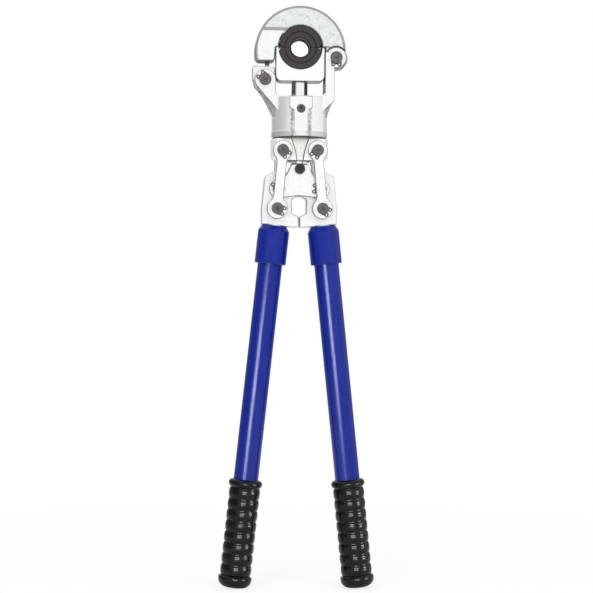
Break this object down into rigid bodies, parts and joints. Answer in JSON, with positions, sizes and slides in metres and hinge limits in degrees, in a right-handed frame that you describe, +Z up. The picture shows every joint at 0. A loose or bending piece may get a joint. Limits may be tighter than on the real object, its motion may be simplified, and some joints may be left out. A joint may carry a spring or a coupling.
{
  "type": "pipe fitting press tool",
  "caption": "Long-handled manual radial press tool: hinged C jaw with half dies in a swivelling fork, worked by links and two levers.",
  "frame": {"origin": "middle of the bounding box's bottom, between the ends of the two grips, on the tool's axis", "axes": "+Z up along the tool's axis from the grips to the jaw, -Y towards the front that faces the camera, +X to the right, towards the jaw's hinge"},
  "size_m": [0.156, 0.0562, 0.5797],
  "materials": {
    "forged_steel": "plated forging, rough cast skin and milled flats",
    "milled_steel": "milled and plated",
    "polished_steel": "ground and polished",
    "dark_pin_steel": "turned, dark",
    "spring_steel": "stamped spring steel",
    "black_oxide": "blackened",
    "blue_paint": "gloss paint",
    "black_rubber": "glossy moulded rubber"
  },
  "bodies": {
    "block": {"linkage_block": "milled_steel"},
    "head": {"fork_head": "forged_steel", "swivel_washer": "dark_pin_steel", "swivel_screw": "dark_pin_steel", "jaw_hinge_pin": "dark_pin_steel", "latch_pin": "dark_pin_steel", "clip_jaw_hinge_front": "spring_steel", "clip_jaw_hinge_rear": "spring_steel", "clip_latch_front": "spring_steel", "clip_latch_rear": "spring_steel"},
    "jaw": {"jaw_frame": "forged_steel", "upper_die": "black_oxide", "upper_die_dowel": "milled_steel"},
    "latch": {"latch": "forged_steel"},
    "die_slide": {"die_holder": "milled_steel", "die_holder_pin": "milled_steel", "lower_die": "black_oxide", "lower_die_dowel": "milled_steel"},
    "push": {"ram": "polished_steel", "push_plate_front": "milled_steel", "push_plate_rear": "milled_steel", "ram_screw": "black_oxide", "ram_nut": "black_oxide", "lever_pivot_pin_left": "dark_pin_steel", "lever_pivot_pin_right": "dark_pin_steel", "clip_lever_pivot_left_front": "spring_steel", "clip_lever_pivot_left_rear": "spring_steel", "clip_lever_pivot_right_front": "spring_steel", "clip_lever_pivot_right_rear": "spring_steel"},
    "handle_left": {"lever_left": "forged_steel", "ferrule_left": "blue_paint", "handle_tube_left": "blue_paint", "grip_left": "black_rubber"},
    "handle_right": {"lever_right": "forged_steel", "ferrule_right": "blue_paint", "handle_tube_right": "blue_paint", "grip_right": "black_rubber"},
    "links_left": {"link_front_left": "milled_steel", "link_rear_left": "milled_steel", "upper_link_pin_left": "dark_pin_steel", "lower_link_pin_left": "dark_pin_steel", "clip_upper_link_left_front": "spring_steel", "clip_upper_link_left_rear": "spring_steel", "clip_lower_link_left_front": "spring_steel", "clip_lower_link_left_rear": "spring_steel"},
    "links_right": {"link_front_right": "milled_steel", "link_rear_right": "milled_steel", "upper_link_pin_right": "dark_pin_steel", "lower_link_pin_right": "dark_pin_steel", "clip_upper_link_right_front": "spring_steel", "clip_upper_link_right_rear": "spring_steel", "clip_lower_link_right_front": "spring_steel", "clip_lower_link_right_rear": "spring_steel"}
  },
  "joints": [
    {"name": "swivel", "type": "hinge", "parent": "block", "child": "head", "pos_m": [0, 0, 0.44905], "axis": [0, 0, 1], "continuous": true},
    {"name": "jaw_hinge", "type": "hinge", "parent": "head", "child": "jaw", "pos_m": [0.0355, 0, 0.52835], "axis": [0, 1, 0], "range_deg": [0, 100]},
    {"name": "latch_hinge", "type": "hinge", "parent": "head", "child": "latch", "pos_m": [-0.035, 0, 0.50575], "axis": [0, -1, 0], "range_deg": [0, 60]},
    {"name": "ram_slide", "type": "slide", "parent": "block", "child": "push", "axis": [0, 0, -1], "range_m": [0, 0.00592]},
    {"name": "die_slide", "type": "slide", "parent": "head", "child": "die_slide", "axis": [0, 0, -1], "range_m": [0, 0.00592]},
    {"name": "handle_left", "type": "hinge", "parent": "push", "child": "handle_left", "pos_m": [-0.021, 0, 0.39783], "axis": [0, 1, 0], "range_deg": [0, 60]},
    {"name": "handle_right", "type": "hinge", "parent": "push", "child": "handle_right", "pos_m": [0.021, 0, 0.39783], "axis": [0, -1, 0], "range_deg": [0, 60]},
    {"name": "links_left", "type": "hinge", "parent": "block", "child": "links_left", "pos_m": [-0.0173, 0, 0.43555], "axis": [0, 1, 0], "range_deg": [0, 18]},
    {"name": "links_right", "type": "hinge", "parent": "block", "child": "links_right", "pos_m": [0.0173, 0, 0.43555], "axis": [0, -1, 0], "range_deg": [0, 18]}
  ],
  "couplings": [
    {"joint": "handle_right", "follows": "handle_left", "ratio": 1},
    {"joint": "links_left", "follows": "handle_left", "ratio": 0.3},
    {"joint": "links_right", "follows": "handle_left", "ratio": 0.3},
    {"joint": "ram_slide", "follows": "handle_left", "m_per_rad": 0.00565},
    {"joint": "die_slide", "follows": "handle_left", "m_per_rad": 0.00565}
  ]
}
